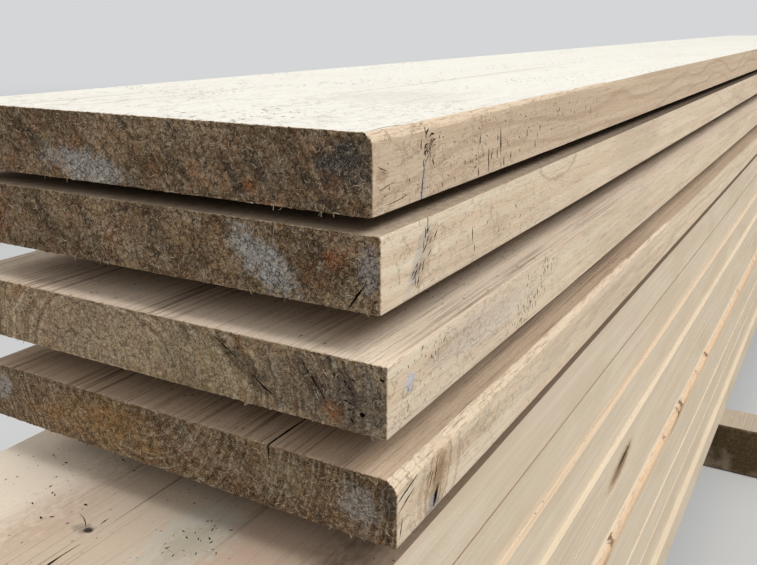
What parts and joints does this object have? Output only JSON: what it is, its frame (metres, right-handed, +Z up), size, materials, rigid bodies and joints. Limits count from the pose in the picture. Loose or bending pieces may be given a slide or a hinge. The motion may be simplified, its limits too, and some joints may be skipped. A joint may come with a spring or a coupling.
{
  "type": "stack of lumber",
  "caption": "Stack of long rough-sawn lumber: wide loose planks on thin spacers over a close pile of thicker boards, carried on squared bearers.",
  "frame": {"origin": "middle of the stack's box at the level that it stands on, under the bearers", "axes": "+Y along the planks from their near ends to their far ends, +X towards the open long side where the boards' edges show, +Z up"},
  "size_m": [0.6, 3.431, 0.836],
  "materials": {
    "sawn_plank": "rough sawn, weathered ends",
    "sawn_board": "rough sawn, pale",
    "bearer_timber": "rough sawn, dirty",
    "spacer_lath": "rough sawn"
  },
  "bodies": {
    "root": {"bearer_1": "bearer_timber", "bearer_2": "bearer_timber", "bearer_3": "bearer_timber", "lower_board_01": "sawn_board", "lower_board_02": "sawn_board", "lower_board_03": "sawn_board", "lower_board_04": "sawn_board", "lower_board_05": "sawn_board", "lower_board_06": "sawn_board", "lower_board_07": "sawn_board", "lower_board_08": "sawn_board", "lower_board_09": "sawn_board", "lower_board_10": "sawn_board", "plank_1": "sawn_plank", "plank_2": "sawn_plank", "plank_3": "sawn_plank", "plank_4": "sawn_plank", "spacer_1_1": "spacer_lath", "spacer_1_2": "spacer_lath", "spacer_1_3": "spacer_lath", "spacer_2_1": "spacer_lath", "spacer_2_2": "spacer_lath", "spacer_2_3": "spacer_lath", "spacer_3_1": "spacer_lath", "spacer_3_2": "spacer_lath", "spacer_3_3": "spacer_lath", "spacer_4_1": "spacer_lath", "spacer_4_2": "spacer_lath", "spacer_4_3": "spacer_lath"}
  },
  "joints": []
}
